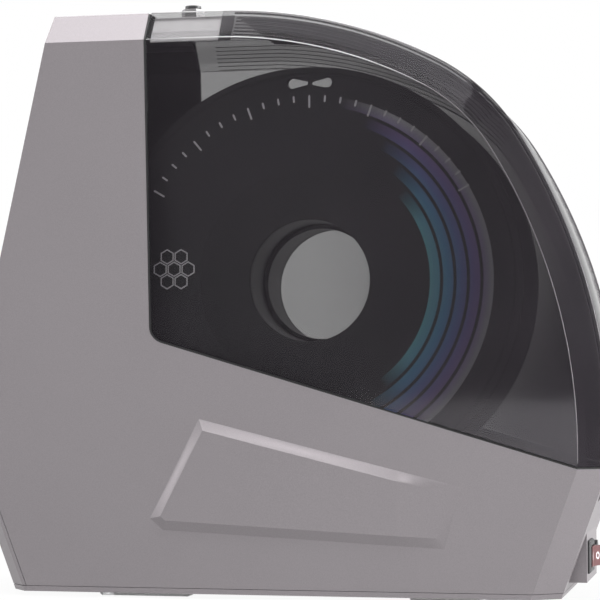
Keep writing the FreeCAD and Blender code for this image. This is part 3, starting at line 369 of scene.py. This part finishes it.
def painted_edge_highlight():
    """Painted highlight along the lid's edges: pale along the roof and greyer down the back, where it fades.
    """
    edge_highlight = Finish("painted_edge_highlight")
    x = edge_highlight.axes()[0]
    streak = edge_highlight.noise(60.0, 2.0)
    along = edge_highlight.rise(x + 0.01 * streak, -0.07, 0.13)
    shade = edge_highlight.ramp(along, (0.05, (0.40, 0.39, 0.40)), (0.22, (0.86, 0.85, 0.86)),
                       (0.52, (0.80, 0.79, 0.80)), (0.72, (0.16, 0.15, 0.16)), (0.95, (0.12, 0.11, 0.12)))
    return edge_highlight.surface(base_color=shade, roughness=0.2)


def lit_segments():
    """Pale blue glow of the display's segments, slightly uneven."""
    glow = Finish("lit_segments")
    level = glow.noise(300.0)
    tint = glow.blend(level, (0.35, 0.75, 0.95), (0.55, 0.9, 1.0))
    return glow.surface(base_color=tint, roughness=0.4, emission_color=tint, emission_strength=1.2)


def gloss_window():
    """Black glossy window with a faint smear in its polish."""
    window = Finish("gloss_window")
    smear = window.noise(40.0, 3.0)
    return window.surface(base_color=window.blend(smear, (0.006, 0.006, 0.008), (0.012, 0.012, 0.014)),
                          roughness=0.05 + 0.05 * smear)


finishes = {
    "case_grey": painted_case(),
    "feet_rubber": moulded("pale_silicone", (0.92, 0.92, 0.92), 0.5, 500.0, spread=0.03),
    "black_plastic": moulded("black_plastic", (0.022, 0.022, 0.024), 0.5),
    "bush_white": moulded("white_nylon", (0.68, 0.68, 0.66), 0.4),
    "seal_black": moulded("seal_rubber", (0.010, 0.010, 0.011), 0.6, 500.0),
    "steel": turned_metal("turned_steel", (0.56, 0.56, 0.57)),
    "brass": turned_metal("plain_brass", (0.62, 0.46, 0.22), 0.35),
    "window_black": gloss_window(),
    "board_green": board_laminate(),
    "aluminium": turned_metal("fin_aluminium", (0.72, 0.72, 0.73), 0.4),
    "lid_smoke": smoked_clear(),
    "fitting_grey": moulded("fitting_plastic", (0.30, 0.292, 0.298), 0.28),
    "collar_black": moulded("collar_plastic", (0.05, 0.05, 0.052), 0.35),
    "plug_rubber": moulded("plug_silicone", (0.03, 0.03, 0.031), 0.55, 500.0),
    "spool_black": moulded("spool_plastic", (0.013, 0.012, 0.014), 0.5, 700.0),
    "label_dark": label_film(),
    "filament_black": moulded("filament_strand", (0.020, 0.020, 0.021), 0.3, 300.0),
    "roller_rubber": moulded("roller_rubber", (0.03, 0.03, 0.03), 0.7, 500.0),
    "rocker_red": moulded("rocker_plastic", (0.10, 0.022, 0.024), 0.3),
    "button_grey": moulded("button_plastic", (0.10, 0.10, 0.105), 0.45),
}
# The spool's bore: the spool plastic made glossier, and darker than the rest of the spool as painted shade
# inside the hole.
bore_gloss_and_shade = moulded("spool_bore_plastic_shaded", (0.007, 0.0065, 0.0075), 0.42, 700.0, 0.00001)
slot_of = {row["node"]: row["material_slot"] for row in frame["record"]["subparts"]}
for name, node in nodes.items():
    node.data.materials.clear()
    node.data.materials.append(bore_gloss_and_shade if name == "spool_core" else finishes[slot_of[name]])


def soften(name, width):
    """Round a carried-over piece's sharp edges a little, so that they catch the light."""
    weld = nodes[name].modifiers.new("weld", "WELD")
    weld.merge_threshold = 1e-6
    bevel = nodes[name].modifiers.new("edges", "BEVEL")
    bevel.width = width
    bevel.segments = 2
    bevel.limit_method = "ANGLE"
    bevel.angle_limit = math.radians(22.0)
    bevel.harden_normals = False
    bevel.use_clamp_overlap = True


soften("body_shell", 0.0006)
soften("chin_cover", 0.0005)
soften("lid_shell", 0.0006)
soften("spool_flange_near", 0.0006)
soften("spool_flange_far", 0.0006)


def piece(name, vertices, faces, material, body, smooth=True):
    """Mesh piece from arrays, riding on a body."""
    mesh = bpy.data.meshes.new(name)
    points = np.asarray(vertices).reshape(-1, 3).tolist()
    mesh.from_pydata(points, [], [list(map(int, face)) for face in faces])
    mesh.polygons.foreach_set("use_smooth", np.full(len(mesh.polygons), smooth))
    mesh.update()
    made = bpy.data.objects.new(name, mesh)
    bpy.context.scene.collection.objects.link(made)
    made.data.materials.append(material)
    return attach(made, body)


def quads(rows, columns, close_rows=False, close_columns=False):
    """Faces of a grid of points, wrapped round where it closes on itself."""
    last_row = rows - (not close_rows)
    last_column = columns - (not close_columns)
    i, j = np.meshgrid(np.arange(last_row), np.arange(last_column), indexing="ij")
    down, right = (i + 1) % rows, (j + 1) % columns
    corners = [i * columns + j, i * columns + right, down * columns + right, down * columns + j]
    return np.stack(corners, axis=-1).reshape(-1, 4)


def tube(name, centre, out, side, radius, material, body, sides=8):
    """Round bar: a circle in the plane of two directions, carried along a line, with closed ends."""
    ring = np.linspace(0.0, 2 * np.pi, sides, endpoint=False)
    points = centre[:, None, :] + radius * (np.cos(ring)[None, :, None] * out[:, None, :]
                                            - np.sin(ring)[None, :, None] * side)
    rows = len(centre)
    faces = quads(rows, sides, close_columns=True).tolist()
    faces += [list(range(sides))[::-1], list(range((rows - 1) * sides, rows * sides))]
    return piece(name, points, faces, material, body)


def slab(name, front, back_step, material, body):
    """Thin sheet: a grid of points and its copy moved back, joined all round."""
    ring = np.concatenate([front, (front + np.asarray(back_step))[:, ::-1]], axis=1)
    rows, around = ring.shape[:2]
    j = np.arange(around // 2 - 1)
    cap = np.stack([j, around - 1 - j, around - 2 - j, j + 1], axis=-1)
    end_cap = cap[:, ::-1] + (rows - 1) * around
    faces = np.concatenate([quads(rows, around, close_columns=True), cap, end_cap])
    return piece(name, ring, faces, material, body, smooth=False)


def printed(name, shapes, plane, heights, material, body):
    """Flat marks: each outline in a plane, filled or with an inner one cut out, carried a short way out."""
    origin, across, up = (np.asarray(part, dtype=float) for part in plane)
    out = np.cross(across, up)
    low, high = heights
    points, faces, start = [], [], 0
    for outer, inner in shapes:
        loops = [(outer, high), (outer, low)]
        if inner is not None:
            loops = [(inner, high), *loops, (inner, low)]
        rings = [origin + loop @ np.stack([across, up]) + height * out for loop, height in loops]
        grid = np.stack(rings, axis=1)
        rows, columns = grid.shape[:2]
        faces += (quads(rows, columns, True, inner is not None) + start).tolist()
        if inner is None:
            rim = start + columns * np.arange(rows)
            faces += [rim.tolist(), (rim + 1)[::-1].tolist()]
        points.append(grid.reshape(-1, 3))
        start += rows * columns
    return piece(name, np.concatenate(points), faces, material, body, smooth=False)


def polygon(x, y, radius, sides, turn=0.0):
    """Corners of a regular polygon, anticlockwise."""
    angle = turn + 2 * np.pi * np.arange(sides) / sides
    return np.stack([x + radius * np.cos(angle), y + radius * np.sin(angle)], axis=-1)


def bar(x, y, length, width, turn=0.0):
    """Outline of a bar with round ends, anticlockwise."""
    angle = np.linspace(-np.pi / 2, np.pi / 2, 8)
    radius = width / 2
    end = np.stack([length / 2 - radius + radius * np.cos(angle), radius * np.sin(angle)], axis=-1)
    line = np.concatenate([end, -end])
    spin = np.array([[math.cos(turn), math.sin(turn)], [-math.sin(turn), math.cos(turn)]])
    return np.array([x, y]) + line @ spin


def lid_line(offset, first=0.0, last=90.0, front_x=None, foot_z=None, steps=160):
    """Points in X and Z along the lid's outline, moved outwards, between two turns from straight up."""
    turn = np.linspace(math.radians(first), math.radians(last), steps)
    arc = np.searchsorted(arc_turns, turn, side="right") - 1
    out = np.stack([np.sin(turn), np.cos(turn)], axis=-1)
    line = arc_centres[arc] + (arc_radii[arc] + offset)[:, None] * out
    parts = [line]
    if front_x is not None:
        level = np.linspace(front_x, line[0, 0], 9)[:-1]
        parts.insert(0, np.stack([level, np.full(8, line[0, 1])], axis=-1))
    if foot_z is not None:
        drop = np.linspace(line[-1, 1], foot_z, 5)[1:]
        parts.append(np.stack([np.full(4, line[-1, 0]), drop], axis=-1))
    return np.concatenate(parts)


def bead(name, line, y, radius, material, body):
    """Round bead along a line in a plane of constant Y."""
    heading = np.gradient(line, axis=0)
    heading = heading / np.linalg.norm(heading, axis=1)[:, None]
    out = np.stack([-heading[:, 1], np.zeros(len(line)), heading[:, 0]], axis=-1)
    centre = np.stack([line[:, 0], np.full(len(line), y), line[:, 1]], axis=-1)
    return tube(name, centre, out, np.array([0.0, 1.0, 0.0]), radius, material, body)


def wound_filament():
    """Outer layer of filament: a circle carried along a helix about the spool's axis, with small wander."""
    steps = strand_steps * strand_turns
    t = np.linspace(0.0, 1.0, steps)
    turn = 2 * np.pi * strand_turns * t
    half = spool_inner_half - winding_margin
    along = -half + 2 * half * t + strand_wander * np.sin(turn * 0.37)
    out = np.stack([np.sin(turn), np.zeros(steps), np.cos(turn)], axis=-1)
    centre = spool_axis + out * winding_radius + np.stack([0 * t, along, 0 * t], axis=-1)
    strand = finishes["filament_black"]
    made = tube("wound_filament", centre, out, np.array([0.0, 1.0, 0.0]), strand_radius, strand, "spool")
    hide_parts("filament_layer")


def lid_trim():
    """Lid details: painted highlights along the edges, fine ribs under roof and bevels, a pale panel of
    painted highlight and a black strip.

    Beads follow the lid's outline, moved out by a share of the bevel's rise and in by the wall.
    The pale panel is painted highlight, light from above seen at the bevel, and it and the strip are sheets
    behind the near bevel.
    """
    edge_highlight = painted_edge_highlight()
    rib = moulded("smoke_rib", (0.012, 0.011, 0.012), 0.4, 400.0)
    # Painted highlight: a pale sheet behind the near bevel stands for the light that the bevel shows from
    # above.
    painted_highlight_sheet = moulded("painted_highlight_panel", (0.57, 0.553, 0.565), 0.55, 260.0, spread=0.05)
    bevel_depth = face_half - section_half
    lean = np.array([0.0, bevel_rise, bevel_depth]) / math.hypot(bevel_rise, bevel_depth)
    rib_set_in = lid_wall + bevel_rib_gap
    for word, side in (("near", -1), ("far", 1)):
        # Painted highlights: pale beads along the face and roof edges stand for the light that the rounded
        # edges catch.
        face_line = lid_line(0.0, front_x=lid_front_x, foot_z=lid_foot_z)
        face_y = side * (face_half - face_highlight_inset)
        bead(f"lid_face_highlight_{word}", face_line, face_y, face_highlight_radius, edge_highlight, "lid")
        roof_line = lid_line(bevel_rise, last=roof_end, front_x=lid_front_x)
        bead(f"lid_roof_highlight_{word}", roof_line, side * section_half, roof_highlight_radius, edge_highlight, "lid")
        groove_line = lid_line(bevel_rise - groove_depth, first=groove_start, last=roof_end)
        groove_y = side * (section_half + trim_gap)
        bead(f"lid_roof_line_{word}", groove_line, groove_y, groove_bead, rib, "lid")
        front = far_rib_front_x if word == "far" else None
        for i in range(bevel_rib_count):
            share = (i + 1) / (bevel_rib_count + 1)
            across = face_half - bevel_depth * share - lean[1] * rib_set_in
            offset = bevel_rise * share - lean[2] * rib_set_in
            rib_line = lid_line(offset, rib_start, bevel_rib_end, front, steps=rib_steps)
            bead(f"bevel_rib_{word}_{i}", rib_line, side * across, bevel_rib_radii[word], rib, "lid")
    normal = lean * np.array([1.0, -1.0, 1.0])
    for word, start, end, coat in (("panel", lid_front_x + panel_front_gap, pale_end_x, painted_highlight_sheet),
                                   ("strip", pale_end_x, strip_end_x, finishes["seal_black"])):
        x, v = np.meshgrid(np.linspace(start, end, 12), np.linspace(*panel_share, 6), indexing="ij")
        edge = np.stack([x, bevel_depth * v - face_half, lid_front_z + bevel_rise * v], axis=-1)
        slab(f"bevel_{word}", edge - normal * (lid_wall + trim_gap), -normal * panel_thickness, coat, "lid")
    roof_rib_line = lid_line(bevel_rise - lid_wall - trim_gap, rib_start, roof_rib_end, steps=rib_steps)
    for i in range(roof_rib_count):
        y = (i - roof_rib_count // 2) * roof_rib_pitch
        bead(f"roof_rib_{i}", roof_rib_line, y, roof_rib_radius, rib, "lid")


def label_print():
    """Pale marks on the spool's label: radial ticks over the top and a comb of cells at the left."""
    shapes = []
    for i in range(tick_count):
        angle = tick_start + tick_step * i
        length = long_tick if i % 4 == 0 else short_tick
        middle = tick_radius - length / 2
        tick = bar(middle * math.cos(angle), middle * math.sin(angle), length, tick_width, angle)
        shapes.append((tick, None))
    for i in range(7):
        angle = math.pi / 3 * i
        reach = 0.0 if i == 6 else comb_pitch
        x = comb_place[0] + reach * math.cos(angle)
        y = comb_place[1] + reach * math.sin(angle)
        shapes.append((polygon(x, y, cell_outer, 6, math.pi / 6), polygon(x, y, cell_inner, 6, math.pi / 6)))
    plane = ((spool_axis[0], label_face_y, spool_axis[2]), (1, 0, 0), (0, 0, 1))
    printed("label_print", shapes, plane, label_ink_heights, printed_ink(), "spool")


def front_marks():
    """Display digits and bars on the window, and a minus, ring and plus on the buttons."""
    lit = lit_segments()
    ink = printed_ink()
    up = (math.sin(brow_lean), 0.0, math.cos(brow_lean))
    origin = (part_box("display_window")[0].x + display_half_height * math.sin(brow_lean), 0.0, display_z)
    plane = (origin, (0, -1, 0), up)
    places = {"a": (0, 1, 0), "g": (0, 0, 0), "d": (0, -1, 0),
              "f": (-1, 0.5, 1), "b": (1, 0.5, 1), "e": (-1, -0.5, 1), "c": (1, -0.5, 1)}
    lines = {"4": "bcfg", "5": "acdfg", "1": "bc", "8": "abcdefg"}
    shapes = []
    for x, y, half_height, digit in ((-0.0235, 0.006, 0.009, "4"), (-0.0105, 0.006, 0.009, "5"),
                                     (0.0125, 0.004, 0.007, "1"), (0.0225, 0.004, 0.007, "8")):
        half_width = 0.52 * half_height
        thick = 0.2 * half_height
        for key in lines[digit]:
            across, above, upright = places[key]
            length = half_height - thick if upright else 2 * half_width - thick
            middle = (x + across * half_width, y + above * half_height)
            shapes.append((bar(*middle, length, thick, math.pi / 2 * upright), None))
    shapes.append((polygon(-0.0030, 0.0135, 0.0016, 24), polygon(-0.0030, 0.0135, 0.0010, 24)))
    for i in range(10):
        shapes.append((bar(-0.0265 + 0.0059 * i, -0.0130, 0.0044, 0.0022), None))
    printed("display_segments", shapes, plane, (0.0, segment_height), lit, "case")
    marks = {"minus": [(bar(0, 0, 0.0042, 0.0008), None)],
             "set": [(polygon(0, 0, 0.0021, 32), polygon(0, 0, 0.0014, 32))],
             "plus": [(bar(0, 0, 0.0042, 0.0008), None), (bar(0, 0.00135, 0.0015, 0.0008, math.pi / 2), None),
                      (bar(0, -0.00135, 0.0015, 0.0008, math.pi / 2), None)]}
    for i, (body, shapes) in enumerate(marks.items()):
        shift = np.array([(i - 1) * button_pitch, button_row])
        moved = [(outer + shift, None if inner is None else inner + shift) for outer, inner in shapes]
        heights = (button_stand - ink_depth, button_stand + ink_depth)
        printed(f"{body}_mark", moved, plane, heights, ink, body)


def rocker_marks():
    """Bar and ring marks on the two faces of the power rocker."""
    ink = printed_ink()
    cosine, sine = math.cos(rocker_tilt), math.sin(rocker_tilt)
    spin = np.array([[cosine, sine], [-sine, cosine]])
    for word, side, shape in (("bar", -1, (bar(0.0, 0.0, 0.0036, 0.0007, math.pi / 2), None)),
                              ("ring", 1, (polygon(0.0, 0.0, 0.0017, 32), polygon(0.0, 0.0, 0.0011, 32)))):
        face = spin @ np.array([sine, side * cosine])
        crown = spin @ np.array([rocker_crown, 0.0])
        middle = crown + rocker_mark_reach * face
        across = np.array([face[0], face[1], 0.0]) * side
        origin = rocker_axis + np.array([middle[0], middle[1], 0.0])
        plane = (origin, across, (0, 0, 1))
        printed(f"rocker_{word}", [shape], plane, rocker_ink_heights, ink, "rocker")


wound_filament()
lid_trim()
label_print()
front_marks()
rocker_marks()


def white_world():
    """White surroundings where they are seen, also in reflections, and a softer level that lights the box."""
    world = bpy.data.worlds.new("studio")
    bpy.context.scene.world = world
    world.use_nodes = True
    tree = world.node_tree
    tree.nodes.clear()
    path = tree.nodes.new("ShaderNodeLightPath")
    seen = tree.nodes.new("ShaderNodeMath")
    seen.operation = "MAXIMUM"
    shown = tree.nodes.new("ShaderNodeMath")
    shown.operation = "MAXIMUM"
    tree.links.new(path.outputs["Is Camera Ray"], seen.inputs[0])
    tree.links.new(path.outputs["Is Glossy Ray"], seen.inputs[1])
    tree.links.new(seen.outputs[0], shown.inputs[0])
    tree.links.new(path.outputs["Is Transmission Ray"], shown.inputs[1])
    soft = tree.nodes.new("ShaderNodeBackground")
    soft.inputs["Color"].default_value = rgb(1.0, 1.0, 1.0)
    soft.inputs["Strength"].default_value = 0.28
    white = tree.nodes.new("ShaderNodeBackground")
    white.inputs["Color"].default_value = rgb(1.0, 1.0, 1.0)
    white.inputs["Strength"].default_value = 1.0
    mix = tree.nodes.new("ShaderNodeMixShader")
    tree.links.new(shown.outputs[0], mix.inputs[0])
    tree.links.new(soft.outputs[0], mix.inputs[1])
    tree.links.new(white.outputs[0], mix.inputs[2])
    tree.links.new(mix.outputs[0], tree.nodes.new("ShaderNodeOutputWorld").inputs[0])


def studio_floor():
    """Pale floor that is white where it is seen, also in reflections, and keeps a soft shadow."""
    paint = Finish("studio_floor")
    kinds = ("Camera", "Glossy", "Transmission")
    rays = [paint.node("ShaderNodeLightPath", output=f"Is {kind} Ray") for kind in kinds]
    seen = paint.node("ShaderNodeMath", {"operation": "MAXIMUM"}, {0: rays[0], 1: rays[1]})
    seen = paint.node("ShaderNodeMath", {"operation": "MAXIMUM"}, {0: seen, 1: rays[2]})
    shade = paint.node("ShaderNodeBsdfDiffuse", {}, {"Color": rgb(0.85, 0.85, 0.85)})
    white = paint.node("ShaderNodeEmission", {}, {"Color": rgb(1.0, 1.0, 1.0), "Strength": 1.0})
    white_share = 0.94
    mixed = paint.node("ShaderNodeMixShader", {}, {0: seen * white_share, 1: shade, 2: white})
    paint.node("ShaderNodeOutputMaterial", {}, {"Surface": mixed})
    size = 6.0
    mesh = bpy.data.meshes.new("floor")
    corners = [(-size, -size, 0), (size, -size, 0), (size, size, 0), (-size, size, 0)]
    mesh.from_pydata(corners, [], [(0, 1, 2, 3)])
    mesh.materials.append(paint.material)
    floor = bpy.data.objects.new("floor", mesh)
    bpy.context.scene.collection.objects.link(floor)


def softbox(name, place, target, size, power):
    """Rectangular studio lamp that faces a point."""
    lamp = bpy.data.lights.new(name, "AREA")
    lamp.shape = "RECTANGLE"
    lamp.size, lamp.size_y = size
    lamp.energy = power
    holder = bpy.data.objects.new(name, lamp)
    aim = np.array(target) - np.array(place)
    holder.location = place
    holder.rotation_euler = Vector(aim).to_track_quat("-Z", "Y").to_euler()
    bpy.context.scene.collection.objects.link(holder)


def studio_camera():
    """Long lens low over the floor, turned a little towards the tail and looking slightly up."""
    turn = math.radians(12.0)
    rise = math.radians(2.6)
    target = Vector((0.00814, -0.052, 0.13706))
    distance = 1.0
    level = math.cos(rise)
    forward = Vector((-math.sin(turn) * level, math.cos(turn) * level, math.sin(rise)))
    lens = bpy.data.cameras.new("camera")
    lens.lens = 131.05
    lens.sensor_width = 36.0
    lens.clip_start = 0.05
    camera = bpy.data.objects.new("camera", lens)
    camera.location = target - forward * distance
    camera.rotation_euler = forward.to_track_quat("-Z", "Y").to_euler()
    bpy.context.scene.collection.objects.link(camera)
    bpy.context.scene.camera = camera


white_world()
studio_floor()
softbox("overhead", place=(0.0, -0.40, 1.35), target=(0.0, 0.0, 0.2), size=(1.5, 1.0), power=22.5)
softbox("left_key", place=(-1.5, -0.45, 0.55), target=(0.0, 0.0, 0.12), size=(0.9, 1.0), power=8.6)
softbox("front_low", place=(0.2, -1.6, 0.05), target=(0.0, 0.0, 0.01), size=(1.6, 0.08), power=2.2)
softbox("tail_side", place=(1.5, 0.25, 0.35), target=(0.13, 0.0, 0.1), size=(0.8, 0.8), power=38.0)
studio_camera()
bpy.context.scene.view_settings.view_transform = "Standard"
